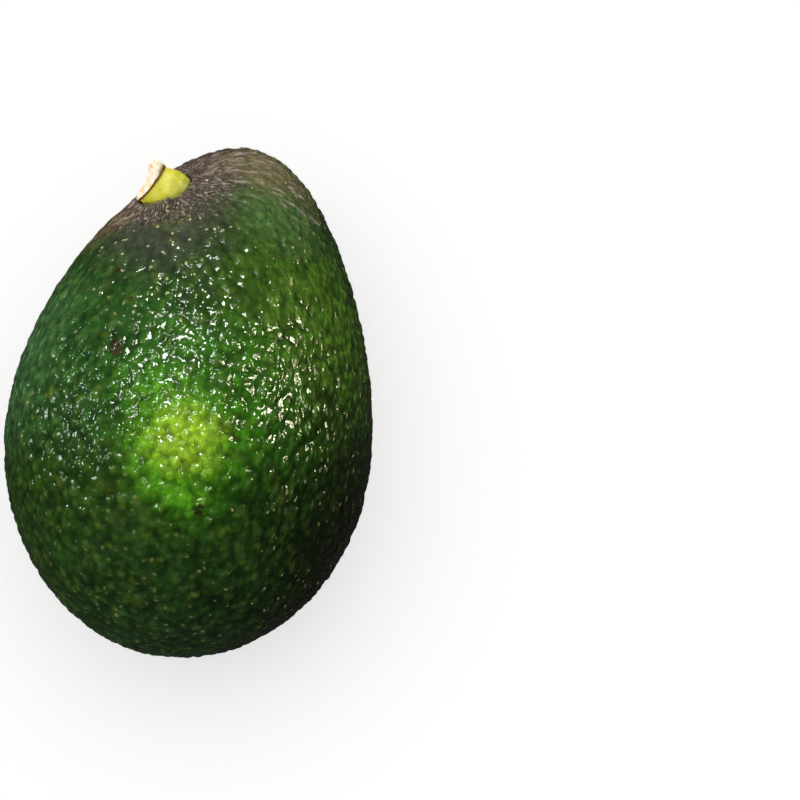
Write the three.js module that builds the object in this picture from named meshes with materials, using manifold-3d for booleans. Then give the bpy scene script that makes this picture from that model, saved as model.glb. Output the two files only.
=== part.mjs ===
// A whole avocado lying on its side: a pebbled egg-shaped fruit with a slimmer, leaning neck, and the
// short cut stub of its stem, which stands in a shallow seat at the upper left of the neck.
// Millimetres. +Z is up, +Y runs from the blossom end to the neck, and the origin is on the surface
// that the fruit rests on, under the middle of its bounding box.

import * as THREE from "three";
import { ConvexHull } from "three/addons/math/ConvexHull.js";
import { mergeVertices } from "three/addons/utils/BufferGeometryUtils.js";
import Module from "manifold-3d";

const { acos, atan, atan2, cos, exp, hypot, max, min, PI, sin, sqrt, tan } = Math;
const { clamp, degToRad, smoothstep } = THREE.MathUtils;

// The fruit's egg shape
const FRUIT_LENGTH = 102;
const FRUIT_WIDTH = 68;
const TAPER = 0.213; // how much slimmer the neck is than the blossom end
const END_SLIMNESS = 0.05; // slims both ends a little more than an ellipse
const NECK_LEAN = 4.6; // the neck leans towards +X, by this times the square of the way along it
const LEAN_STARTS = -0.35; // place along the axis, from -1 at the blossom end to 1 at the neck
const NECK_DIP = degToRad(6); // the slimmer neck sinks by this angle when the fruit lies down
const REST_CUT = 0.5; // how far the flat spot is above the egg's lowest point
const REST_FADE = 0.9; // the relief is worn away below this height above the flat spot

// Broad uneven swellings of the flesh, as waves over the unit sphere
const SWELLS = [
  { waves: new THREE.Vector3(3.1, 4.2, 0), shift: 0, height: 0.16 },
  { waves: new THREE.Vector3(1.2, -2.9, 3.7), shift: 1, height: 0.14 },
  { waves: new THREE.Vector3(-4.4, 1.5, 2.6), shift: 2.2, height: 0.1 },
];

// The small dimple where the flower was
const BLOSSOM_DEPTH = 0.7;
const BLOSSOM_RADIUS = 5;

// The pebbles of the skin, made larger than life so that a moderate number still covers the fruit
const PEBBLE_SPACING = 3.85;
const PEBBLE_HEIGHT = 0.34;
const PEBBLE_UNEVENNESS = 0.4; // share of the height by which pebbles differ
const VALLEY_DEPTH = 0.28;
const PEBBLE_STRAY = 0.2; // share of the spacing by which a pebble strays from its place
const NECK_CROWDING = 1.9; // how many times more pebbles a patch of the neck has
const CROWDING_STARTS = 0.45;
const CROWDING_ENDS = 0.9;
const GOLDEN_ANGLE = PI * (3 - sqrt(5));
const MERIDIAN_STEPS = 6000;
const SMALL = 0.001;

// The stem's seat, a shallow hollow with wrinkles around it
const SEAT_ALONG = 0.65;
const SEAT_ROUND = degToRad(115); // from +X towards +Z
const SEAT_DEPTH = 1.5;
const SEAT_RADIUS = 11;
const WRINKLES = 11;
const WRINKLE_HEIGHT = 0.35;
const WRINKLES_START = 4.5;
const WRINKLES_FULL = 7.5;
const WRINKLES_END = 15;
const NEAR_STEM_PEBBLES = 0.3; // share of their height that pebbles keep beside the stem
const NEAR_STEM = 6.5; // they grow to their full height from here to where the wrinkles end

// The stem's stub, measured along its own axis from the middle of its seat
const STEM_POINTS = new THREE.Vector3(-0.78, 0.444, 0.437).normalize();
const STEM_FOOT_RADIUS = 4.9;
const STEM_TIP_RADIUS = 3.95;
const STEM_HEIGHT = 4.6;
const STEM_ROOT_DEPTH = 3.4;
const STEM_ROOT_RADIUS = 3.2;
const STEM_LIP = 0.2; // the dried edge of the cut stands out by this
const STEM_LIP_THICKNESS = 0.7;
const STEM_DISH = 0.45; // the cut face has dried into a shallow dish
const STEM_LOBES = [
  { count: 3, shift: 0.6, share: 0.025 },
  { count: 5, shift: -1, share: 0.02 },
];
const STEM_SIDES = 30;
const SOCKET_GAP = 0.32;

// The same draw of random numbers each time, from -1 to 1
let seed = 20407;
function stray() {
  seed = (seed * 1664525 + 1013904223) % 4294967296;
  return (seed / 4294967296) * 2 - 1;
}

// How full the fruit is at a place along its axis, as a share of its widest place
function unscaledFullness(along) {
  return 1 - TAPER * along - END_SLIMNESS * along * along;
}

let widest = 0;
for (let polar = 0; polar < PI; polar += PI / MERIDIAN_STEPS) {
  widest = max(widest, sin(polar) * unscaledFullness(-cos(polar)));
}

function fullness(along) {
  return unscaledFullness(along) / widest;
}

// The fruit's radius at a polar angle, which is 0 at the blossom end and PI at the neck
function radiusAt(polar) {
  return (FRUIT_WIDTH / 2) * sin(polar) * fullness(-cos(polar));
}

// A direction of the unit sphere, with y along the fruit's axis
function direction(polar, round) {
  return new THREE.Vector3(sin(polar) * cos(round), -cos(polar), sin(polar) * sin(round));
}

// The smooth egg's surface in that direction, with its leaning neck dipped as the fruit lies
function eggPoint(way) {
  const across = (FRUIT_WIDTH / 2) * fullness(way.y);
  const lean = NECK_LEAN * max(0, way.y - LEAN_STARTS) ** 2;
  const point = new THREE.Vector3(way.x * across + lean, (way.y * FRUIT_LENGTH) / 2, way.z * across);
  return point.applyAxisAngle(new THREE.Vector3(1, 0, 0), -NECK_DIP);
}

const blossomEnd = eggPoint(direction(0, 0));

// The stem's seat, its outward normal, and two directions along the skin there
const seatPolar = acos(-SEAT_ALONG);
const seatTop = eggPoint(direction(seatPolar, SEAT_ROUND));
const towardsNeck = eggPoint(direction(seatPolar + SMALL, SEAT_ROUND)).sub(seatTop);
const roundNeck = eggPoint(direction(seatPolar, SEAT_ROUND + SMALL)).sub(seatTop);
const seatFaces = towardsNeck.clone().cross(roundNeck).normalize();
const seatUp = towardsNeck.clone().normalize();
const seatRight = seatUp.clone().cross(seatFaces);
const seat = seatTop.clone().addScaledVector(seatFaces, -SEAT_DEPTH);

// The hollow of the stem's seat, pressed into the neck
function pressSeat(point) {
  const depth = SEAT_DEPTH * exp(-((point.distanceTo(seatTop) / SEAT_RADIUS) ** 2));
  return point.addScaledVector(seatFaces, -depth);
}

// The broad relief: swellings of the flesh, the blossom's dimple, and the wrinkles round the stem
function broadRelief(way, point) {
  let relief = 0;
  for (const { waves, shift, height } of SWELLS) {
    relief += height * sin(way.dot(waves) + shift);
  }
  relief -= BLOSSOM_DEPTH * exp(-((point.distanceTo(blossomEnd) / BLOSSOM_RADIUS) ** 2));
  const out = point.clone().sub(seat);
  const away = out.length();
  const round = atan2(out.dot(seatUp), out.dot(seatRight));
  const rising = smoothstep(away, WRINKLES_START, WRINKLES_FULL);
  const fading = 1 - smoothstep(away, WRINKLES_FULL, WRINKLES_END);
  return relief + WRINKLE_HEIGHT * rising * fading * cos(WRINKLES * round);
}

// How many times closer than on the belly the pebbles stand at a place along the axis
function crowding(along) {
  return 1 + (NECK_CROWDING - 1) * smoothstep(along, CROWDING_STARTS, CROWDING_ENDS);
}

// Pebbles spaced by a golden-angle spiral from the blossom end to the neck. Each has its direction,
// and an even one, which lays the fruit's skin onto a ball without changing any of its angles.
function scatterPebbles() {
  const pebbles = [];
  const step = PI / MERIDIAN_STEPS;
  const patch = (PEBBLE_SPACING ** 2 * sqrt(3)) / 2;
  let due = 0;
  let stretch = 0;
  for (let polar = step / 2; polar < PI; polar += step) {
    const radius = radiusAt(polar);
    const slope = (radiusAt(polar + step / 2) - radiusAt(polar - step / 2)) / step;
    const length = hypot(slope, (FRUIT_LENGTH / 2) * sin(polar));
    const crowd = crowding(-cos(polar));
    due += (2 * PI * radius * length * step * crowd) / patch;
    stretch += (length / radius - 1 / sin(polar)) * step;
    while (pebbles.length + 0.5 < due) {
      const strayed = (PEBBLE_STRAY * PEBBLE_SPACING) / sqrt(crowd);
      const round = pebbles.length * GOLDEN_ANGLE + (stray() * strayed) / radius;
      const own = clamp(polar + (stray() * strayed) / length, step, PI - step);
      pebbles.push({ way: direction(own, round), own, round, stretch });
    }
  }
  for (const pebble of pebbles) {
    const evenPolar = 2 * atan(tan(pebble.own / 2) * exp(pebble.stretch - stretch / 2));
    pebble.evenWay = direction(evenPolar, pebble.round);
  }
  return pebbles;
}

// Joins the pebbles into one closed mesh: each is a low peak, and there is a valley point wherever
// three of them meet. Gives the direction of each point, peaks first, and the triangles.
function joinPebbles(pebbles) {
  const hull = new ConvexHull().setFromPoints(pebbles.map((pebble) => pebble.evenWay));
  const peakOf = new Map(pebbles.map((pebble, place) => [pebble.evenWay, place]));
  const ways = pebbles.map((pebble) => pebble.way);
  const meetings = hull.faces.map((face) => ({ face, edges: [0, 1, 2].map((i) => face.getEdge(i)) }));
  const valleyOf = new Map();
  for (const { face, edges } of meetings) {
    const middle = new THREE.Vector3();
    edges.forEach((edge) => middle.add(ways[peakOf.get(edge.head().point)]));
    valleyOf.set(face, ways.push(middle.normalize()) - 1);
  }
  const triangles = [];
  for (const { face, edges } of meetings) {
    for (const edge of edges) {
      triangles.push(peakOf.get(edge.tail().point), valleyOf.get(edge.twin.face), valleyOf.get(face));
    }
  }
  return { ways, triangles };
}

// The fruit's whole skin as one closed mesh, set so that the flat spot will be at z = 0
function pebbledSkin() {
  const pebbles = scatterPebbles();
  const { ways, triangles } = joinPebbles(pebbles);
  const smooth = ways.map((way) => pressSeat(eggPoint(way)));
  const ground = min(...smooth.map((point) => point.z)) + REST_CUT;
  const skin = new THREE.BufferGeometry().setFromPoints(smooth).setIndex(triangles);
  skin.computeVertexNormals();
  const normals = skin.getAttribute("normal");
  const raised = smooth.map((point, i) => {
    const beyondStem = smoothstep(point.distanceTo(seat), NEAR_STEM, WRINKLES_END);
    const kept = NEAR_STEM_PEBBLES + (1 - NEAR_STEM_PEBBLES) * beyondStem;
    const unworn = smoothstep(point.z - ground, -REST_FADE / 2, REST_FADE);
    const isPeak = i < pebbles.length;
    const pebble = isPeak ? PEBBLE_HEIGHT * (1 + PEBBLE_UNEVENNESS * stray()) : -VALLEY_DEPTH;
    const height = (pebble * kept + broadRelief(ways[i], point)) * unworn;
    return point.clone().addScaledVector(new THREE.Vector3().fromBufferAttribute(normals, i), height);
  });
  skin.setFromPoints(raised).deleteAttribute("normal");
  return { skin: skin.translate(0, 0, -ground), ground };
}

// Half the stem's outline, from its root to the middle of its cut face, grown by a margin
function stemOutline(margin) {
  const lip = STEM_TIP_RADIUS + STEM_LIP;
  return [
    [0, -STEM_ROOT_DEPTH - margin],
    [STEM_ROOT_RADIUS * 0.7 + margin, -STEM_ROOT_DEPTH - margin],
    [STEM_ROOT_RADIUS + margin, -STEM_ROOT_DEPTH * 0.85],
    [STEM_FOOT_RADIUS * 0.96 + margin, -STEM_ROOT_DEPTH * 0.4],
    [STEM_FOOT_RADIUS + margin, 0],
    [STEM_FOOT_RADIUS * 0.96 + margin, STEM_HEIGHT * 0.3],
    [STEM_TIP_RADIUS + margin, STEM_HEIGHT - STEM_LIP_THICKNESS * 1.4],
    [lip + margin, STEM_HEIGHT - STEM_LIP_THICKNESS],
    [lip + margin, STEM_HEIGHT - STEM_LIP_THICKNESS * 0.35],
    [STEM_TIP_RADIUS * 0.93 + margin, STEM_HEIGHT + margin],
    [STEM_TIP_RADIUS * 0.72, STEM_HEIGHT - STEM_DISH * 0.7 + margin],
    [STEM_TIP_RADIUS * 0.35, STEM_HEIGHT - STEM_DISH + margin],
    [0, STEM_HEIGHT - STEM_DISH + margin],
  ].map(([radius, height]) => new THREE.Vector2(radius, height));
}

// The outline turned about the stem's axis, which is Z here, and made slightly lobed
function stemBody(margin) {
  const body = new THREE.LatheGeometry(stemOutline(margin), STEM_SIDES).rotateX(PI / 2);
  const points = body.getAttribute("position");
  for (let i = 0; i < points.count; i++) {
    const round = atan2(points.getY(i), points.getX(i));
    let lobed = 1;
    for (const { count, shift, share } of STEM_LOBES) {
      lobed += share * cos(count * round + shift);
    }
    points.setXY(i, points.getX(i) * lobed, points.getY(i) * lobed);
  }
  return body;
}

const wasm = await Module();
wasm.setup();

// A closed mesh as a solid that can be cut
function solidFrom(geometry) {
  const bare = new THREE.BufferGeometry();
  bare.setAttribute("position", geometry.getAttribute("position"));
  bare.setIndex(geometry.getIndex());
  const merged = mergeVertices(bare);
  const vertProperties = merged.getAttribute("position").array;
  const triVerts = new Uint32Array(merged.getIndex().array);
  return new wasm.Manifold(new wasm.Mesh({ numProp: 3, vertProperties, triVerts }));
}

function geometryFrom(solid) {
  const { vertProperties, triVerts } = solid.getMesh();
  const geometry = new THREE.BufferGeometry();
  geometry.setAttribute("position", new THREE.BufferAttribute(vertProperties, 3));
  return geometry.setIndex(new THREE.BufferAttribute(triVerts, 1));
}

// The fruit, with its flat spot and the stem's socket cut
const { skin, ground } = pebbledSkin();
const stemFoot = seat.clone().setZ(seat.z - ground);
const stemTurn = new THREE.Quaternion().setFromUnitVectors(new THREE.Vector3(0, 0, 1), STEM_POINTS);
const socket = stemBody(SOCKET_GAP).applyQuaternion(stemTurn);
socket.translate(stemFoot.x, stemFoot.y, stemFoot.z);
const below = new THREE.BoxGeometry(2 * FRUIT_LENGTH, 2 * FRUIT_LENGTH, FRUIT_LENGTH);
below.translate(0, 0, -FRUIT_LENGTH / 2);

const fruit = new THREE.Mesh(
  geometryFrom(solidFrom(skin).subtract(solidFrom(below)).subtract(solidFrom(socket))),
  new THREE.MeshStandardMaterial({ color: 0x2c4a1e, roughness: 0.35, metalness: 0 }),
);
fruit.name = "fruit";

const stem = new THREE.Mesh(
  stemBody(0),
  new THREE.MeshStandardMaterial({ color: 0xb5b53a, roughness: 0.6, metalness: 0 }),
);
stem.name = "stem";
stem.position.copy(stemFoot);
stem.quaternion.copy(stemTurn);

// The whole is moved so that the origin is under the middle of its bounding box
const avocado = new THREE.Group();
const centred = new THREE.Group();
centred.add(fruit, stem);
avocado.add(centred);
avocado.updateMatrixWorld(true);
const middle = new THREE.Box3().setFromObject(centred, true).getCenter(new THREE.Vector3());
centred.position.set(-middle.x, -middle.y, 0);

export default avocado;
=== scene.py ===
import random
from math import acos, atan2, cos, dist, exp, hypot, pi, radians, sin, sqrt, tau

import bmesh
import bpy
from mathutils import Matrix, Vector, kdtree, noise


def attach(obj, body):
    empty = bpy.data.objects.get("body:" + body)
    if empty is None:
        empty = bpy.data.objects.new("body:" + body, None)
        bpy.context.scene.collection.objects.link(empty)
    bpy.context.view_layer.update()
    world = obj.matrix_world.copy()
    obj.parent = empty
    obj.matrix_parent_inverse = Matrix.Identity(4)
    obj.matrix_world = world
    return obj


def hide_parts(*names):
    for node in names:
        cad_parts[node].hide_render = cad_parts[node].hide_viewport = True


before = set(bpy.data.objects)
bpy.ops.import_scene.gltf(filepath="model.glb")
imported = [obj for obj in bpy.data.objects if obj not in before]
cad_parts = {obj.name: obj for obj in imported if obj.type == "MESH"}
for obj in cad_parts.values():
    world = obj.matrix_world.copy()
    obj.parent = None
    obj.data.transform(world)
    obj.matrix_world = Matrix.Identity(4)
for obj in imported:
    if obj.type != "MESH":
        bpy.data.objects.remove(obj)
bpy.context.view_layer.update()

# The fruit
# One whole berry of the avocado tree, grown in one piece. Its thick leathery skin is raised in pebbles
# under a thin natural wax. It lies on its side, on the small patch of skin that gives under its weight.

MM = 0.001  # lengths below are in millimetres, and a finished mesh is brought to metres by this

FRUIT_LENGTH = 102
FRUIT_WIDTH = 68
TAPER = 0.213
END_SLIMNESS = 0.05
NECK_LEAN = 4.6
LEAN_STARTS = -0.35
NECK_DIP = Matrix.Rotation(radians(-6), 3, "X")
FRUIT_MIDDLE = Vector((-0.120, 0.130, 32.698))  # above the floor by this, with the flat spot at z = 0
GROUND = -FRUIT_MIDDLE.z
REST_FADE = 0.9
SWELLS = (
    (Vector((3.1, 4.2, 0)), 0, 0.16),
    (Vector((1.2, -2.9, 3.7)), 1, 0.14),
    (Vector((-4.4, 1.5, 2.6)), 2.2, 0.1),
)
BLOSSOM_DEPTH = 0.7
BLOSSOM_RADIUS = 5

# The stem's seat in the neck, the wrinkles round it, and the socket that the stem's root fills
SEAT_ALONG = 0.65
SEAT_ROUND = radians(115)
SEAT_DEPTH = 1.5
SEAT_RADIUS = 11
WRINKLES = 11
WRINKLE_HEIGHT = 0.35
WRINKLES_START = 4.5  # these three are distances from the seat
WRINKLES_CREST = 7.5
WRINKLES_END = 15
STEM_POINTS = Vector((-0.78, 0.444, 0.437)).normalized()
SOCKET_GAP = 0.42  # between the stem and the socket's wall
SOCKET = (  # the root's outline: radius, and height along the stem
    (0, -3.4),
    (2.24, -3.4),
    (3.2, -2.89),
    (4.7, -1.36),
    (4.9, 0),
    (4.7, 1.38),
    (3.95, 3.62),
    (3.95, 9),
)
SOCKET_BOTTOM = -4  # skin between these heights is drawn into the socket
SOCKET_TOP = 6
DEEPEST_RIM = -3.3
FLOOR_ENDS = -2.9  # up to here the skin is lowered by the gap, and from the next height on it isn't
WALL_STARTS = -1.4
COLLAR_HEIGHT = 0.9
COLLAR_CREST = 0.5  # distance from the socket's edge
COLLAR_ENDS = 4.5
SPOKES = 11
SPOKE_LENGTH = 7
RIM_SNAP = 0.07  # skin this close to the socket's edge, as a share of its radius, is drawn to it

# The pebbles, at their real spacing
PEBBLE_SPACING = 1.95
PEBBLE_HEIGHT = 0.48
PEBBLE_MEAN = 0.45  # the share of its height at which the smooth egg lies
PEBBLES_BY_STEM = 0.3  # the share of their height that they keep beside the stem
STREAK_HEIGHT = 0.14
REACHING = 9  # so many of the nearest pebbles can cover a point
PEBBLE_STRAY = 0.42
NECK_CROWDING = 1.4
GOLDEN_ANGLE = pi * (3 - sqrt(5))
MERIDIAN_STEPS = 6000
LONG_PEBBLES = 2.6  # how many times longer than wide the pebbles are beside the stem
LONG_WITHIN = 8  # all of that within this distance of the seat, and none of it past the next
ROUND_BEYOND = 48


def smoothstep(value, low, high):
    share = min(max((value - low) / (high - low), 0), 1)
    return share * share * (3 - 2 * share)


def unscaled_fullness(along):
    return 1 - TAPER * along - END_SLIMNESS * along * along


polars = [step * pi / MERIDIAN_STEPS for step in range(MERIDIAN_STEPS)]
widest = max(sin(polar) * unscaled_fullness(-cos(polar)) for polar in polars)


def direction(polar, round_axis):
    return Vector((sin(polar) * cos(round_axis), -cos(polar), sin(polar) * sin(round_axis)))


def radius_at(polar):
    return FRUIT_WIDTH / 2 * sin(polar) * unscaled_fullness(-cos(polar)) / widest


def egg_point(way):
    """The smooth egg's surface in a direction of the unit sphere, whose y runs along the fruit."""
    across = FRUIT_WIDTH / 2 * unscaled_fullness(way.y) / widest
    lean = NECK_LEAN * max(0, way.y - LEAN_STARTS) ** 2
    return NECK_DIP @ Vector((way.x * across + lean, way.y * FRUIT_LENGTH / 2, way.z * across))


blossom_end = egg_point(direction(0, 0))
seat_polar = acos(-SEAT_ALONG)
seat_top = egg_point(direction(seat_polar, SEAT_ROUND))
towards_neck = egg_point(direction(seat_polar + 0.001, SEAT_ROUND)) - seat_top
round_neck = egg_point(direction(seat_polar, SEAT_ROUND + 0.001)) - seat_top
seat_faces = towards_neck.cross(round_neck).normalized()
seat_up = towards_neck.normalized()
seat_right = seat_up.cross(seat_faces)
seat = seat_top - SEAT_DEPTH * seat_faces


def press_seat(point):
    return point - seat_faces * SEAT_DEPTH * exp(-((point - seat_top).length / SEAT_RADIUS) ** 2)


def broad_relief(way, point):
    """Swellings of the flesh, the blossom's dimple and the wrinkles round the stem."""
    relief = sum(height * sin(way.dot(waves) + shift) for waves, shift, height in SWELLS)
    relief -= BLOSSOM_DEPTH * exp(-((point - blossom_end).length / BLOSSOM_RADIUS) ** 2)
    out = point - seat
    away = out.length
    wrinkled = smoothstep(away, WRINKLES_START, WRINKLES_CREST)
    wrinkled *= 1 - smoothstep(away, WRINKLES_CREST, WRINKLES_END)
    round_seat = atan2(out.dot(seat_up), out.dot(seat_right))
    return relief + WRINKLE_HEIGHT * wrinkled * cos(WRINKLES * round_seat)


def scatter_pebbles():
    """Pebbles on a golden-angle spiral: middle, way from the stem, length, radius, height and tone."""
    draw = random.Random(2041)
    step = pi / MERIDIAN_STEPS
    patch = PEBBLE_SPACING ** 2 * sqrt(3) / 2
    due = 0
    pebbles = []
    for polar in polars[1:]:
        radius = radius_at(polar)
        slope = (radius_at(polar + step / 2) - radius_at(polar - step / 2)) / step
        length = hypot(slope, FRUIT_LENGTH / 2 * sin(polar))
        crowd = 1 + (NECK_CROWDING - 1) * smoothstep(-cos(polar), 0.3, 0.9)
        due += tau * radius * length * step * crowd / patch
        while len(pebbles) + 0.5 < due:
            strayed = PEBBLE_STRAY * PEBBLE_SPACING / sqrt(crowd)
            round_axis = len(pebbles) * GOLDEN_ANGLE + draw.uniform(-strayed, strayed) / radius
            own_polar = min(max(polar + draw.uniform(-strayed, strayed) / length, step), pi - step)
            middle = press_seat(egg_point(direction(own_polar, round_axis)))
            away = middle - seat
            near = 1 - smoothstep(away.length, LONG_WITHIN, ROUND_BEYOND)
            pebbles.append((
                middle,
                away.normalized(),
                1 + (LONG_PEBBLES - 1) * near * draw.uniform(0.5, 1.2),
                PEBBLE_SPACING / sqrt(crowd) * draw.uniform(0.5, 0.8),
                draw.uniform(0.35, 1),
                draw.random(),
            ))
    return pebbles


def pebble_over(point, tree, pebbles):
    """The height, from 0 to 1, and the tone of the pebble that stands highest over a point."""
    best, tone = 0, 0.5
    for _, which, _ in tree.find_n(point, REACHING):
        middle, away, length, radius, height, own_tone = pebbles[which]
        out = point - middle
        along = out.dot(away)
        off = (along * along / length ** 2 + out.length_squared - along * along) / radius ** 2
        if off < 1 and height * (1 - off) > best:
            best, tone = height * (1 - off), own_tone
    return best, tone


def collar_at(out):
    """The skin's puckered collar, which stands up round the stem, in millimetres."""
    height = out.dot(STEM_POINTS)
    beyond = (out - height * STEM_POINTS).length - socket_radius(height)
    pucker = noise.noise(out.normalized() * 6) + 0.5 * noise.noise(out * 1.1)
    lip = smoothstep(beyond, -1, COLLAR_CREST) * (1 - smoothstep(beyond, COLLAR_CREST, COLLAR_ENDS))
    return COLLAR_HEIGHT * lip * (1 + 0.7 * pucker) * (1 - smoothstep(out.length, 9, 14))


def spoke_place(out):
    """A place in a pattern of lines that run outwards from the stem, closer together beside it."""
    round_stem = atan2(out.dot(seat_up), out.dot(seat_right))
    return Vector((SPOKES * cos(round_stem), SPOKES * sin(round_stem), out.length / SPOKE_LENGTH))


def streak_at(out):
    """Fine raised lines that run outwards from the stem over the neck, from 0 to 1."""
    away = out.length
    line = 1 - abs(noise.noise(spoke_place(out) * 0.8)) * 5
    return max(0, line) * smoothstep(away, 5, 8) * (1 - smoothstep(away, 22, 40))


def socket_point(share, rim_height):
    """Along the socket's wall, from the middle of its floor at 0 to its rim, at that height, at 1."""
    path = [SOCKET[0]]
    for (low_radius, low), (high_radius, high) in zip(SOCKET, SOCKET[1:]):
        if high > rim_height > low:
            part = (rim_height - low) / (high - low)
            path.append((low_radius + part * (high_radius - low_radius), rim_height))
            break
        path.append((high_radius, high))
    left = share * sum(dist(a, b) for a, b in zip(path, path[1:]))
    for a, b in zip(path, path[1:]):
        if left <= dist(a, b):
            part = left / max(dist(a, b), 1e-9)
            return a[0] + part * (b[0] - a[0]), a[1] + part * (b[1] - a[1])
        left -= dist(a, b)
    return path[-1]


def socket_radius(height):
    for (low_radius, low), (high_radius, high) in zip(SOCKET[1:], SOCKET[2:]):
        if height < high:
            part = max(0, (height - low) / (high - low))
            return low_radius + part * (high_radius - low_radius) + SOCKET_GAP
    return SOCKET[-1][0] + SOCKET_GAP


def sink_socket(point):
    """Draws the skin over the stem's root down into a socket, a little wider than the root."""
    out = point - seat
    height = out.dot(STEM_POINTS)
    flat = out - height * STEM_POINTS
    rim = socket_radius(height)
    if not SOCKET_BOTTOM < height < SOCKET_TOP or flat.length > rim * (1 + RIM_SNAP):
        return point
    share = min(flat.length / rim / (1 - RIM_SNAP), 1)
    radius, depth = socket_point(share, max(height, DEEPEST_RIM))
    if flat.length < rim * (1 - RIM_SNAP):
        height = depth - SOCKET_GAP * (1 - smoothstep(depth, FLOOR_ENDS, WALL_STARTS))
    return seat + height * STEM_POINTS + (radius + SOCKET_GAP) * flat.normalized()


pebbles = scatter_pebbles()
pebble_tree = kdtree.KDTree(len(pebbles))
for place, pebble in enumerate(pebbles):
    pebble_tree.insert(pebble[0], place)
pebble_tree.balance()

body = bmesh.new()
bmesh.ops.create_icosphere(body, subdivisions=6, radius=1)
bmesh.ops.subdivide_edges(body, edges=body.edges[:], cuts=2, use_grid_fill=True)
ways = []
for vert in body.verts:
    ways.append(vert.co.normalized())
    vert.co = press_seat(egg_point(ways[-1]))
body.normal_update()
pebble_layer = body.verts.layers.float.new("pebble")
tone_layer = body.verts.layers.float.new("tone")
spoke_layer = body.verts.layers.float_vector.new("spoke")
raised = []
for vert, way in zip(body.verts, ways):
    out = vert.co - seat
    pebble, tone = pebble_over(vert.co, pebble_tree, pebbles)
    streak = streak_at(out)
    vert[pebble_layer] = pebble
    vert[tone_layer] = tone
    vert[spoke_layer] = spoke_place(out)
    unworn = smoothstep(vert.co.z - GROUND, -REST_FADE / 2, REST_FADE)
    kept = PEBBLES_BY_STEM + (1 - PEBBLES_BY_STEM) * smoothstep(out.length, 6.5, 15)
    relief = PEBBLE_HEIGHT * (pebble - PEBBLE_MEAN) * kept + STREAK_HEIGHT * streak
    relief = (relief + broad_relief(way, vert.co)) * unworn + collar_at(out)
    point = sink_socket(vert.co + vert.normal * relief)
    point.z = max(point.z, GROUND)
    raised.append(point)
for vert, point in zip(body.verts, raised):
    vert.co = point
for face in body.faces:
    face.smooth = True
bmesh.ops.translate(body, verts=body.verts, vec=FRUIT_MIDDLE)
bmesh.ops.scale(body, verts=body.verts, vec=(MM, MM, MM))
fruit_mesh = bpy.data.meshes.new("fruit_skin")
body.to_mesh(fruit_mesh)
body.free()
fruit = bpy.data.objects.new("fruit_body", fruit_mesh)
bpy.context.scene.collection.objects.link(fruit)


def hex_colour(code):
    """An sRGB hex colour as linear red, green, blue and 1."""
    parts = [int(code[i:i + 2], 16) / 255 for i in (1, 3, 5)]
    return [c / 12.92 if c <= 0.04045 else ((c + 0.055) / 1.055) ** 2.4 for c in parts] + [1]


def add_node(tree, kind, settings=(), inputs=()):
    """Adds one node with its settings. Each input is set to a value, or linked if a socket is given."""
    made = tree.nodes.new(kind)
    for name, value in dict(settings).items():
        setattr(made, name, value)
    for name, value in dict(inputs).items():
        if isinstance(value, bpy.types.NodeSocket):
            tree.links.new(value, made.inputs[name])
        else:
            made.inputs[name].default_value = value
    return made


# The parts of the rind that differ in colour, some holding painted highlight, sheen and shade: middle
# in mm, radius in mm, colour, strength
RIND_BASE = "#24420f"
BODY_PARTS = (
    ((-18, 2, 56), 30, "#264e1c", 0.85),  # the left flank, deep green
    ((-29, 2, 42), 26, "#456e40", 0.75),  # its side, paler and bluer: partly a painted sheen, partly a pale bloom on the wax
    ((26, 4, 50), 30, "#4c741c", 0.95),  # the right flank, which hung in the sun
    ((0, -48, 40), 40, "#1d3716", 0.95),  # the blossom end, darker
    ((29, -31, 36), 30, "#1e280a", 0.95),  # the side beside it, darker and browner: partly painted shade, partly darker skin
    ((6, -14, 66), 25, "#2c6606", 0.95),  # the crown of the body
    ((1, -20, 67), 16, "#4e8e0e", 0.9),  # the edge of a paler patch on the crown: partly a painted highlight, partly yellower skin
)
# Smaller parts, laid over the mottling and with finer ragged edges
FINE_PARTS = (
    ((3, 46, 30), 26, "#4e4c38", 0.7),  # the neck's end, brownish
    ((-4, 26, 57), 19, "#3e3f36", 0.85),  # the neck in front of the stem, turning dark
    ((-4, 38, 42), 23, "#64504a", 0.9),  # the ripening skin round the stem, purple-brown
    ((-14, 30, 44), 12, "#86664f", 0.5),  # the shoulder at the stem's left, bronze
    ((17, 28, 50), 13, "#4a6a36", 0.8),  # the foot of the hump at the stem's right
    ((15, 40, 41), 13, "#857a58", 0.7),  # the hump itself, pale and a little corky
    ((2, -19, 67), 9, "#96c024", 0.85),  # the middle of that patch on the crown, paler still: partly a painted highlight, partly yellower skin
)
# Healed brown scars of the rind: middle in mm, radius in mm, colour
RIND_SCARS = (
    ((-10.4, -1.4, 65.0), 1.6, "#281e10"),
    ((-10.2, -2.7, 65.0), 1.4, "#38301a"),
    ((4.7, -31.0, 63.4), 1.3, "#1c100a"),
    ((-11.1, 14.4, 59.4), 0.8, "#2e2010"),
    ((-8.4, 7.4, 63.0), 0.9, "#382a14"),
)
SMOOTH = {"interpolation_type": "SMOOTHSTEP"}
COLOURS = {"data_type": "RGBA"}
NUMBERS = {"data_type": "FLOAT"}

# Living plant cuticle over pebbled rind: a thin wax makes each pebble flash where it faces the light,
# and the rind between the pebbles is painted darker than on their tips, as shade.
waxy_rind = bpy.data.materials.new("waxy_pebbled_rind")
waxy_rind.use_nodes = True
tree = waxy_rind.node_tree
tree.nodes.clear()
place = add_node(tree, "ShaderNodeTexCoord").outputs["Object"]

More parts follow.
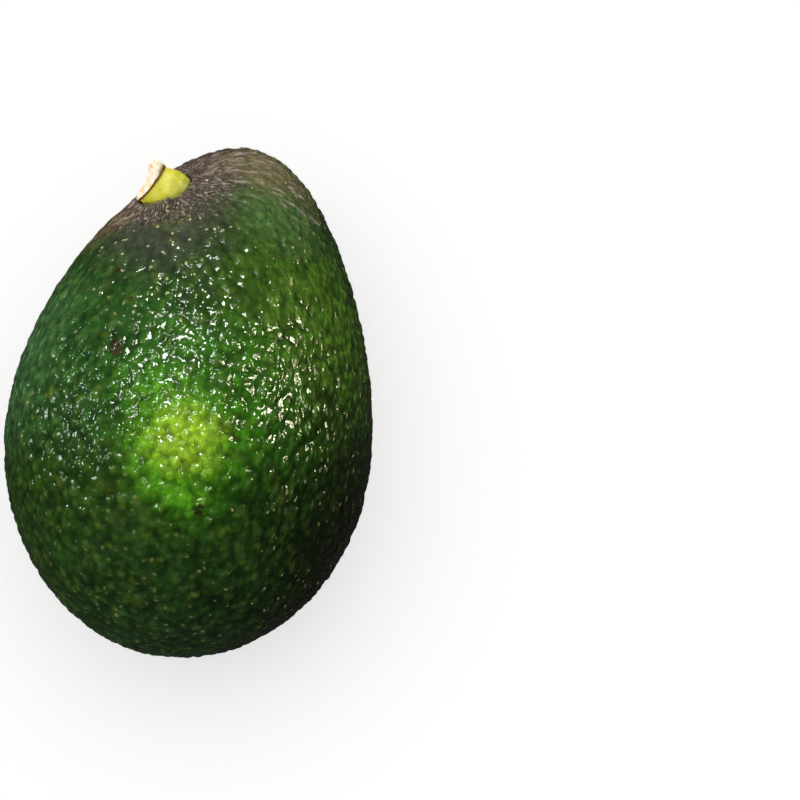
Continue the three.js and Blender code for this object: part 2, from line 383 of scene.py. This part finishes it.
# The place moved about unevenly, which makes edges ragged: noise per metre, and the reach in mm
strayed = {}
for use, scale, reach in (
    ("zones", 70, 16),
    ("neck", 150, 6),
    ("bumps", 650, 1.1),
    ("scars", 1500, 2.4),
):
    drift = add_node(tree, "ShaderNodeTexNoise", {}, {"Vector": place, "Scale": scale, "Detail": 2})
    centred = add_node(
        tree,
        "ShaderNodeVectorMath",
        {"operation": "SUBTRACT"},
        {0: drift.outputs["Color"], 1: (0.5, 0.5, 0.5)},
    )
    moved = add_node(
        tree,
        "ShaderNodeVectorMath",
        {"operation": "MULTIPLY_ADD"},
        {0: centred.outputs[0], 1: (reach * MM, reach * MM, reach * MM), 2: place},
    )
    strayed[use] = moved.outputs[0]


def add_spot(tree, place, middle, near, far, strength):
    """How far a place belongs to a round spot: the strength within near, falling to 0 at far, in mm."""
    away = add_node(
        tree, "ShaderNodeVectorMath", {"operation": "DISTANCE"}, {0: place, 1: Vector(middle) * MM}
    )
    steps = {0: away.outputs["Value"], 1: near * MM, 2: far * MM, 3: strength, 4: 0}
    return add_node(tree, "ShaderNodeMapRange", SMOOTH, steps).outputs[0]


colour = hex_colour(RIND_BASE)
for middle, radius, code, strength in BODY_PARTS:
    share = add_spot(tree, strayed["zones"], middle, radius * 0.2, radius, strength)
    colour = add_node(
        tree, "ShaderNodeMix", COLOURS, {0: share, 6: colour, 7: hex_colour(code)}
    ).outputs[2]

# Mottling of the rind in patches about 4 mm across, yellower here and there in patches of 2.5 mm, and
# blotches of 1.7 mm. Scales of patterns are in patches to the metre.
MOTTLE_SCALE = 260
YELLOW_SCALE = 420
BLOTCH_SCALE = 600
mottle = add_node(
    tree,
    "ShaderNodeTexNoise",
    {},
    {"Vector": place, "Scale": MOTTLE_SCALE, "Detail": 5, "Roughness": 0.65},
)
mottle_shade = add_node(
    tree, "ShaderNodeMapRange", {}, {0: mottle.outputs["Fac"], 1: 0.35, 2: 0.65, 3: 0.62, 4: 1.45}
)
mottled = add_node(
    tree, "ShaderNodeVectorMath", {"operation": "SCALE"}, {0: colour, "Scale": mottle_shade.outputs[0]}
)
yellow = add_node(tree, "ShaderNodeTexNoise", {}, {"Vector": place, "Scale": YELLOW_SCALE, "Detail": 3})
yellow_share = add_node(
    tree, "ShaderNodeMapRange", SMOOTH, {0: yellow.outputs["Fac"], 1: 0.55, 2: 0.75, 3: 0, 4: 0.3}
)
yellowed = add_node(
    tree,
    "ShaderNodeMix",
    COLOURS,
    {0: yellow_share.outputs[0], 6: mottled.outputs[0], 7: hex_colour("#66760e")},
)
colour = yellowed.outputs[2]
for middle, radius, code, strength in FINE_PARTS:
    share = add_spot(tree, strayed["neck"], middle, radius * 0.3, radius, strength)
    colour = add_node(
        tree, "ShaderNodeMix", COLOURS, {0: share, 6: colour, 7: hex_colour(code)}
    ).outputs[2]
blotches = add_node(
    tree,
    "ShaderNodeTexNoise",
    {},
    {"Vector": place, "Scale": BLOTCH_SCALE, "Detail": 4, "Roughness": 0.7},
)
shade = add_node(
    tree, "ShaderNodeMapRange", {}, {0: blotches.outputs["Fac"], 1: 0.3, 2: 0.7, 3: 0.65, 4: 1.4}
)
blotched = add_node(
    tree, "ShaderNodeVectorMath", {"operation": "SCALE"}, {0: colour, "Scale": shade.outputs[0]}
)
colour = blotched.outputs[0]

# Small bumps of the rind, 1.5 mm apart, drawn out to 1.1 by 2.8 mm on the right side
KNOB_SCALE = 660
RIDGE_SCALE = 900
RIDGE_STRETCH = (1, 0.4, 1)
knobs = add_node(tree, "ShaderNodeTexVoronoi", {}, {"Vector": strayed["bumps"], "Scale": KNOB_SCALE})
knob_height = add_node(
    tree, "ShaderNodeMapRange", SMOOTH, {0: knobs.outputs["Distance"], 1: 0.05, 2: 0.7, 3: 1, 4: 0}
)
drawn_out = add_node(
    tree, "ShaderNodeVectorMath", {"operation": "MULTIPLY"}, {0: strayed["bumps"], 1: RIDGE_STRETCH}
)
ridges = add_node(
    tree, "ShaderNodeTexVoronoi", {}, {"Vector": drawn_out.outputs[0], "Scale": RIDGE_SCALE}
)
ridge_height = add_node(
    tree, "ShaderNodeMapRange", SMOOTH, {0: ridges.outputs["Distance"], 1: 0.05, 2: 0.7, 3: 1, 4: 0}
)
parts = add_node(tree, "ShaderNodeSeparateXYZ", {}, {0: place})
right_side = add_node(
    tree, "ShaderNodeMapRange", SMOOTH, {0: parts.outputs["X"], 1: 6 * MM, 2: 20 * MM, 3: 0, 4: 1}
)
small_bumps = add_node(
    tree,
    "ShaderNodeMix",
    NUMBERS,
    {0: right_side.outputs[0], 2: knob_height.outputs[0], 3: ridge_height.outputs[0]},
)
small_height = small_bumps.outputs[0]

# Pale dots with a dark ring, which cap some of the bumps, 0.5 mm across, and most on the neck and the
# right side: partly corky lenticels, partly painted glints on the bumps' tips
cell_tone = add_node(
    tree,
    "ShaderNodeMix",
    COLOURS,
    {0: right_side.outputs[0], 6: knobs.outputs["Color"], 7: ridges.outputs["Color"]},
)
cell_parts = add_node(tree, "ShaderNodeSeparateColor", {}, {0: cell_tone.outputs[2]})
capped = add_node(
    tree, "ShaderNodeMapRange", SMOOTH, {0: cell_parts.outputs[0], 1: 0.4, 2: 0.8, 3: 0, 4: 1}
)
cap = add_node(tree, "ShaderNodeMapRange", SMOOTH, {0: small_height, 1: 0.72, 2: 0.95, 3: 0, 4: 1})
dot = add_node(
    tree, "ShaderNodeMath", {"operation": "MULTIPLY"}, {0: capped.outputs[0], 1: cap.outputs[0]}
)
dotted_neck = add_spot(tree, strayed["neck"], (-2, 20, 59), 12, 26, 0.65)
dotted_side = add_node(
    tree, "ShaderNodeMapRange", SMOOTH, {0: parts.outputs["X"], 1: 2 * MM, 2: 18 * MM, 3: 0.16, 4: 0.7}
)
dotted = add_node(
    tree, "ShaderNodeMath", {"operation": "MAXIMUM"}, {0: dotted_neck, 1: dotted_side.outputs[0]}
)
# the dots, partly painted glints
dots_and_glints = add_node(
    tree, "ShaderNodeMath", {"operation": "MULTIPLY"}, {0: dot.outputs[0], 1: dotted.outputs[0]}
)
ring_band = add_node(
    tree, "ShaderNodeMapRange", SMOOTH, {0: small_height, 1: 0.35, 2: 0.6, 3: 0, 4: 0.8}
)
ring = add_node(
    tree,
    "ShaderNodeMath",
    {"operation": "MULTIPLY"},
    {0: ring_band.outputs[0], 1: capped.outputs[0]},
)
rings = add_node(
    tree, "ShaderNodeMath", {"operation": "MULTIPLY"}, {0: ring.outputs[0], 1: dotted.outputs[0]}
)

# Painted shade in the valleys between the pebbles and between the small bumps, paler crests by each
# pebble's own tone, and the dots
pebble = add_node(tree, "ShaderNodeAttribute", {"attribute_name": "pebble"}).outputs["Fac"]
tone = add_node(tree, "ShaderNodeAttribute", {"attribute_name": "tone"}).outputs["Fac"]
valley_shade = add_node(tree, "ShaderNodeMapRange", SMOOTH, {0: pebble, 1: 0, 2: 0.4, 3: 0.45, 4: 0})
bump_hollow_shade = add_node(
    tree, "ShaderNodeMapRange", SMOOTH, {0: small_height, 1: 0, 2: 0.4, 3: 0.32, 4: 0}
)
crest = add_node(tree, "ShaderNodeMapRange", SMOOTH, {0: pebble, 1: 0.4, 2: 0.9, 3: 0, 4: 0.14})
own_crest = add_node(tree, "ShaderNodeMath", {"operation": "MULTIPLY"}, {0: crest.outputs[0], 1: tone})
for share, code in (
    (valley_shade, "#0a1608"),
    (bump_hollow_shade, "#0a1608"),
    (own_crest, "#8a9c4c"),
    (rings, "#0e1a08"),
    (dots_and_glints, "#c8c688"),
):
    shares = {0: share.outputs[0], 6: colour, 7: hex_colour(code)}
    colour = add_node(tree, "ShaderNodeMix", COLOURS, shares).outputs[2]

# Fine wrinkles that run outwards from the stem, with painted shade in their sunk parts and pale raised
# parts, and paler ones along the hump
spoke = add_node(tree, "ShaderNodeAttribute", {"attribute_name": "spoke"}).outputs["Vector"]
short_spoke = add_node(
    tree, "ShaderNodeVectorMath", {"operation": "MULTIPLY"}, {0: spoke, 1: (1, 1, 3.2)}
)
creases = add_node(
    tree,
    "ShaderNodeTexNoise",
    {},
    {"Vector": short_spoke.outputs[0], "Scale": 2.1, "Detail": 4, "Distortion": 0.6},
)
crease = creases.outputs["Fac"]
lines = add_node(
    tree, "ShaderNodeTexNoise", {}, {"Vector": spoke, "Scale": 1.7, "Detail": 3, "Distortion": 0.2}
)
raised_part = add_node(tree, "ShaderNodeMapRange", SMOOTH, {0: crease, 1: 0.52, 2: 0.66, 3: 0, 4: 1})
sunk_part = add_node(tree, "ShaderNodeMapRange", SMOOTH, {0: crease, 1: 0.36, 2: 0.5, 3: 1, 4: 0})
line_part = add_node(
    tree, "ShaderNodeMapRange", SMOOTH, {0: lines.outputs["Fac"], 1: 0.54, 2: 0.68, 3: 0, 4: 1}
)
beside_stem = add_spot(tree, strayed["neck"], seat + FRUIT_MIDDLE, 8, 16, 0.9)
on_hump = add_spot(tree, strayed["neck"], (15, 40, 42), 8, 18, 0.6)
crease_shade = add_node(
    tree, "ShaderNodeMath", {"operation": "MULTIPLY"}, {0: sunk_part.outputs[0], 1: beside_stem}
)
grain_share = add_node(
    tree, "ShaderNodeMath", {"operation": "MULTIPLY"}, {0: raised_part.outputs[0], 1: beside_stem}
)
line_share = add_node(
    tree, "ShaderNodeMath", {"operation": "MULTIPLY"}, {0: line_part.outputs[0], 1: on_hump}
)
pale_share = add_node(
    tree,
    "ShaderNodeMath",
    {"operation": "MAXIMUM"},
    {0: grain_share.outputs[0], 1: line_share.outputs[0]},
)
for share, code in ((crease_shade, "#2c2226"), (pale_share, "#b6a698")):
    shares = {0: share.outputs[0], 6: colour, 7: hex_colour(code)}
    colour = add_node(tree, "ShaderNodeMix", COLOURS, shares).outputs[2]

# The scars, with edges made ragged at about half a millimetre
for middle, radius, code in RIND_SCARS:
    share = add_spot(tree, strayed["scars"], middle, radius * 0.5, radius, 0.85)
    colour = add_node(
        tree, "ShaderNodeMix", COLOURS, {0: share, 6: colour, 7: hex_colour(code)}
    ).outputs[2]

# Fine unevenness of the wax, drawn 0.6 mm across, a little coarser than it is, so that it shows. Its
# gloss varies in patches of 3 mm.
GRAIN_SCALE = 1800
WAX_SCALE = 330
FINE_RELIEF = 0.17  # the height of the bumps and the wax together, in mm
WAX_IOR = 1.45
grain = add_node(
    tree,
    "ShaderNodeTexNoise",
    {},
    {"Vector": place, "Scale": GRAIN_SCALE, "Detail": 3, "Roughness": 0.6},
)
height = small_height
for share, added in ((0.2, grain.outputs["Fac"]), (1.1, pale_share.outputs[0])):
    sum_of_both = add_node(
        tree, "ShaderNodeMath", {"operation": "MULTIPLY_ADD"}, {0: added, 1: share, 2: height}
    )
    height = sum_of_both.outputs[0]
fine_relief = add_node(
    tree, "ShaderNodeBump", {}, {"Strength": 1, "Distance": FINE_RELIEF * MM, "Height": height}
)
dullness = add_node(
    tree, "ShaderNodeMapRange", {}, {0: mottle.outputs["Fac"], 1: 0.3, 2: 0.7, 3: 0.38, 4: 0.6}
)
wax = add_node(tree, "ShaderNodeTexNoise", {}, {"Vector": place, "Scale": WAX_SCALE, "Detail": 3})
wax_dullness = add_node(
    tree, "ShaderNodeMapRange", {}, {0: wax.outputs["Fac"], 1: 0.35, 2: 0.65, 3: 0.06, 4: 0.16}
)
rind_shader = add_node(
    tree,
    "ShaderNodeBsdfPrincipled",
    {},
    {
        "Base Color": colour,
        "Roughness": dullness.outputs[0],
        "IOR": WAX_IOR,
        "Specular IOR Level": 0.06,
        "Coat Weight": 1,
        "Coat Roughness": wax_dullness.outputs[0],
        "Coat IOR": WAX_IOR,
        "Normal": fine_relief.outputs[0],
        "Coat Normal": fine_relief.outputs[0],
    },
)
add_node(tree, "ShaderNodeOutputMaterial", {}, {"Surface": rind_shader.outputs[0]})
fruit_mesh.materials.append(waxy_rind)
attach(fruit, "root")
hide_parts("fruit")

# The stem
# The stub of the fruit's own stalk, cut off aslant with clippers a little above the fruit. Its bark is
# still fresh and yellow-green, and the cut wood has dried to a pale tan with a dark brown edge.

STEM_OUTLINE = (
    (0, -3.4),
    (2.24, -3.4),
    (3.2, -2.89),
    (4.7, -1.36),
    (4.9, 0),
    (4.7, 1.38),
    (3.95, 3.62),
    (4.15, 3.9),
    (4.15, 4.36),
    (3.67, 4.6),
    (2.84, 4.29),
    (1.38, 4.15),
    (0, 4.15),
)
STEM_LOBES = ((3, 0.6, 0.025), (5, -1, 0.02))
STEM_STEPS = 144
RIM_STARTS = 3.8  # the dried brown edge of the bark is between these heights
RIM_ENDS = 4.14
TORN_TOWARDS = Vector((0.58, 0.78, 0.24))  # the wood tore rather than cut on this side
TORN_HEIGHT = 1.25
PIT_DEPTH = 0.14  # of the unevenness of the cut wood

stub = bmesh.new()
outline = [stub.verts.new((radius, 0, height)) for radius, height in STEM_OUTLINE]
for lower, upper in zip(outline, outline[1:]):
    stub.edges.new((lower, upper))
bmesh.ops.subdivide_edges(stub, edges=stub.edges[:], cuts=5)
bmesh.ops.spin(
    stub,
    geom=stub.verts[:] + stub.edges[:],
    cent=(0, 0, 0),
    axis=(0, 0, 1),
    angle=tau,
    steps=STEM_STEPS,
    use_merge=True,
)
bmesh.ops.remove_doubles(stub, verts=stub.verts, dist=0.001)
bmesh.ops.smooth_vert(
    stub, verts=stub.verts, factor=0.5, use_axis_x=True, use_axis_y=True, use_axis_z=True
)
bmesh.ops.recalc_face_normals(stub, faces=stub.faces)
stem_turn = Vector((0, 0, 1)).rotation_difference(STEM_POINTS)
torn_round = stem_turn.inverted() @ TORN_TOWARDS
wood_layer = stub.verts.layers.float.new("wood")
rim_layer = stub.verts.layers.float.new("rim")
climb_layer = stub.verts.layers.float.new("climb")
for vert in stub.verts:
    x, y, z = vert.co
    round_stem = atan2(y, x)
    reach = hypot(x, y)
    ragged = noise.noise(Vector((3 * cos(round_stem), 3 * sin(round_stem), 0.3 * z)))
    fibres = noise.noise(Vector((9 * cos(round_stem), 9 * sin(round_stem), 0.5 * z)))
    pitted = noise.noise(vert.co * 1.3) + 0.6 * noise.noise(vert.co * 3.1)
    level = z + 0.12 * ragged
    on_face = 1 - smoothstep(reach, 3.7, 4)
    over_rim = smoothstep(level, RIM_ENDS, RIM_ENDS + 0.12)
    vert[wood_layer] = max(over_rim, on_face * smoothstep(z, 3.7, 3.9))
    vert[rim_layer] = smoothstep(level, RIM_STARTS, RIM_STARTS + 0.1) * (1 - vert[wood_layer])
    vert[climb_layer] = z / RIM_ENDS
    lobed = 1 + sum(share * cos(count * round_stem + shift) for count, shift, share in STEM_LOBES)
    lobed += 0.012 * fibres + 0.02 * ragged * vert[wood_layer]
    torn = smoothstep(x * torn_round.x + y * torn_round.y, -0.5, 2.8) * smoothstep(z, 4.1, 4.4)
    torn_level = z + PIT_DEPTH * pitted * vert[wood_layer] + TORN_HEIGHT * torn * (1 + 0.3 * pitted)
    vert.co = (x * lobed, y * lobed, torn_level)
for face in stub.faces:
    face.smooth = True
bmesh.ops.rotate(stub, verts=stub.verts, cent=(0, 0, 0), matrix=stem_turn.to_matrix())
bmesh.ops.translate(stub, verts=stub.verts, vec=seat + FRUIT_MIDDLE)
bmesh.ops.scale(stub, verts=stub.verts, vec=(MM, MM, MM))
stem_mesh = bpy.data.meshes.new("stem_stub")
stub.to_mesh(stem_mesh)
stub.free()
stem = bpy.data.objects.new("stem_stub", stem_mesh)
bpy.context.scene.collection.objects.link(stem)

# Fresh bark is smooth, half matt and evenly yellow-green; cut wood is fibrous, matt and pale.
cut_stalk = bpy.data.materials.new("fresh_stalk_with_cut_wood")
cut_stalk.use_nodes = True
tree = cut_stalk.node_tree
tree.nodes.clear()
place = add_node(tree, "ShaderNodeTexCoord").outputs["Object"]
climb = add_node(tree, "ShaderNodeAttribute", {"attribute_name": "climb"}).outputs["Fac"]
wood = add_node(tree, "ShaderNodeAttribute", {"attribute_name": "wood"}).outputs["Fac"]
rim = add_node(tree, "ShaderNodeAttribute", {"attribute_name": "rim"}).outputs["Fac"]
patches = add_node(
    tree, "ShaderNodeTexNoise", {}, {"Vector": place, "Scale": 700, "Detail": 4}
).outputs["Fac"]
# Towards its foot the bark is darker and greener: partly painted shade where it meets the fruit, partly
# its own colour
climbed = add_node(tree, "ShaderNodeMapRange", SMOOTH, {0: climb, 1: -0.3, 2: 0.5, 3: 0, 4: 1})
# Paler patches of the bark are painted highlights, and darker patches painted shade
painted_highlights = add_node(tree, "ShaderNodeMapRange", SMOOTH, {0: patches, 1: 0.45, 2: 0.7, 3: 0, 4: 0.5})
shaded = add_node(tree, "ShaderNodeMapRange", SMOOTH, {0: patches, 1: 0.25, 2: 0.5, 3: 0.5, 4: 0})
dried = add_node(tree, "ShaderNodeMapRange", SMOOTH, {0: patches, 1: 0.38, 2: 0.55, 3: 0, 4: 1})
pale_wood = add_node(
    tree,
    "ShaderNodeMix",
    COLOURS,
    {0: dried.outputs[0], 6: hex_colour("#eec484"), 7: hex_colour("#fff0da")},
)
stalk = hex_colour("#b4b436")
for share, over in (
    (climbed.outputs[0], hex_colour("#cfca34")),
    (painted_highlights.outputs[0], hex_colour("#e2dc70")),
    (shaded.outputs[0], hex_colour("#a0a62c")),
    (wood, pale_wood.outputs[2]),
    (rim, hex_colour("#66290c")),
):
    stalk = add_node(tree, "ShaderNodeMix", COLOURS, {0: share, 6: stalk, 7: over}).outputs[2]
fibre_relief = add_node(
    tree, "ShaderNodeBump", {}, {"Strength": 0.6, "Distance": 0.2 * MM, "Height": patches}
)
dullness = add_node(tree, "ShaderNodeMapRange", {}, {0: wood, 1: 0, 2: 1, 3: 0.42, 4: 0.8})
stalk_shader = add_node(
    tree,
    "ShaderNodeBsdfPrincipled",
    {},
    {
        "Base Color": stalk,
        "Roughness": dullness.outputs[0],
        "IOR": 1.45,
        "Normal": fibre_relief.outputs[0],
    },
)
add_node(tree, "ShaderNodeOutputMaterial", {}, {"Surface": stalk_shader.outputs[0]})
stem_mesh.materials.append(cut_stalk)
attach(stem, "root")
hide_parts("stem")

# The floor
# A plain sheet of matt white board, larger than any view of the fruit takes in.

FLOOR_SIZE = 3  # half its width, in metres
FLOOR_GLOW = 0.6  # so that it stays white as far as a view reaches

board = bmesh.new()
bmesh.ops.create_grid(board, x_segments=1, y_segments=1, size=FLOOR_SIZE)
floor_mesh = bpy.data.meshes.new("floor")
board.to_mesh(floor_mesh)
board.free()
floor = bpy.data.objects.new("floor", floor_mesh)
bpy.context.scene.collection.objects.link(floor)
matt_board = bpy.data.materials.new("matt_white_board")
matt_board.use_nodes = True
tree = matt_board.node_tree
tree.nodes.clear()
place = add_node(tree, "ShaderNodeTexCoord").outputs["Object"]
cloudy = add_node(tree, "ShaderNodeTexNoise", {}, {"Vector": place, "Scale": 2})
white = add_node(
    tree,
    "ShaderNodeMix",
    COLOURS,
    {0: cloudy.outputs["Fac"], 6: hex_colour("#f4f4f2"), 7: hex_colour("#f8f8f7")},
)
board_shader = add_node(
    tree,
    "ShaderNodeBsdfPrincipled",
    {},
    {
        "Base Color": white.outputs[2],
        "Roughness": 0.9,
        "Emission Color": (1, 1, 1, 1),
        "Emission Strength": FLOOR_GLOW,
    },
)
add_node(tree, "ShaderNodeOutputMaterial", {}, {"Surface": board_shader.outputs[0]})
floor_mesh.materials.append(matt_board)
floor.visible_diffuse = False
floor.visible_glossy = False

# The studio
# Three broad soft lamps light the fruit from overhead, behind and in front. Four small ones, like
# windows, only make its wax gleam. All seven shine on the fruit alone, in a pale room.


def add_lamp(name, place, width, power, tint):
    """A square soft lamp that faces the fruit, and doesn't itself show in a view."""
    light = bpy.data.lights.new(name, "AREA")
    light.shape = "SQUARE"
    light.size = width
    light.energy = power
    light.color = tint
    lamp = bpy.data.objects.new(name, light)
    bpy.context.scene.collection.objects.link(lamp)
    lamp.location = place
    lamp.rotation_euler = (Vector((0, 0, 0.035)) - Vector(place)).to_track_quat("-Z", "Y").to_euler()
    lamp.visible_camera = False
    return lamp


# Each lamp: name, place and width in metres, power in watts, and colour
lit_alone = bpy.data.collections.new("lit_alone")
lit_alone.objects.link(fruit)
lit_alone.objects.link(stem)
overhead = add_lamp("overhead_lamp", (0, 0.25, 1.3), 1.5, 14, (1, 1, 1))
back = add_lamp("back_lamp", (-0.05, 0.95, 0.5), 0.5, 9, (1, 1, 1))
front = add_lamp("front_lamp", (-0.5, -0.55, 0.45), 0.5, 5, (1, 1, 1))
for soft_lamp in (overhead, back, front):
    soft_lamp.visible_glossy = False
    soft_lamp.light_linking.receiver_collection = lit_alone
for name, place, width, power, tint in (
    ("window_above", (-0.05, 0.58, 0.8), 0.12, 5.5, (0.95, 1, 0.9)),
    ("window_overhead", (-0.25, 0.12, 0.95), 0.08, 1.8, (1, 1, 0.9)),
    ("window_left", (-0.85, 0.2, 0.4), 0.12, 1.5, (0.9, 1, 0.95)),
    ("window_right", (0.75, 0.28, 0.5), 0.12, 4.5, (1, 0.93, 0.66)),
):
    window = add_lamp(name, place, width, power, tint)
    window.light_linking.receiver_collection = lit_alone
    window.visible_diffuse = False

# The floor has a wide light of its own, even as far as the view reaches, for a soft shadow
floor_alone = bpy.data.collections.new("floor_alone")
floor_alone.objects.link(floor)
floor_light = bpy.data.lights.new("floor_light", "SUN")
floor_light.energy = 1.3
floor_light.angle = radians(80)
floor_lamp = bpy.data.objects.new("floor_light", floor_light)
bpy.context.scene.collection.objects.link(floor_lamp)
floor_lamp.light_linking.receiver_collection = floor_alone

# The room is pale where the camera sees it, and dim where it lights the fruit
ROOM_LIGHT = 0.03
ROOM_SEEN = 0.95
room = bpy.data.worlds.new("pale_room")
room.use_nodes = True
tree = room.node_tree
tree.nodes.clear()
seen = add_node(tree, "ShaderNodeLightPath").outputs["Is Camera Ray"]
brightness = add_node(
    tree, "ShaderNodeMapRange", {}, {0: seen, 1: 0, 2: 1, 3: ROOM_LIGHT, 4: ROOM_SEEN}
)
background = add_node(
    tree, "ShaderNodeBackground", {}, {"Color": (1, 1, 1, 1), "Strength": brightness.outputs[0]}
)
add_node(tree, "ShaderNodeOutputWorld", {}, {"Surface": background.outputs[0]})
bpy.context.scene.world = room
bpy.context.scene.view_settings.view_transform = "Standard"

# The camera
# It looks down steeply at the blossom end's side, from the photograph's angle and distance.

CAMERA_LENS = 94.8
CAMERA_PLACE = (0.03940, -0.11990, 0.41427)
CAMERA_TILT = radians(17.2)

camera_data = bpy.data.cameras.new("camera")
camera_data.sensor_width = 36
camera_data.lens = CAMERA_LENS
camera = bpy.data.objects.new("camera", camera_data)
bpy.context.scene.collection.objects.link(camera)
camera.location = CAMERA_PLACE
camera.rotation_euler = (CAMERA_TILT, 0, 0)
bpy.context.scene.camera = camera
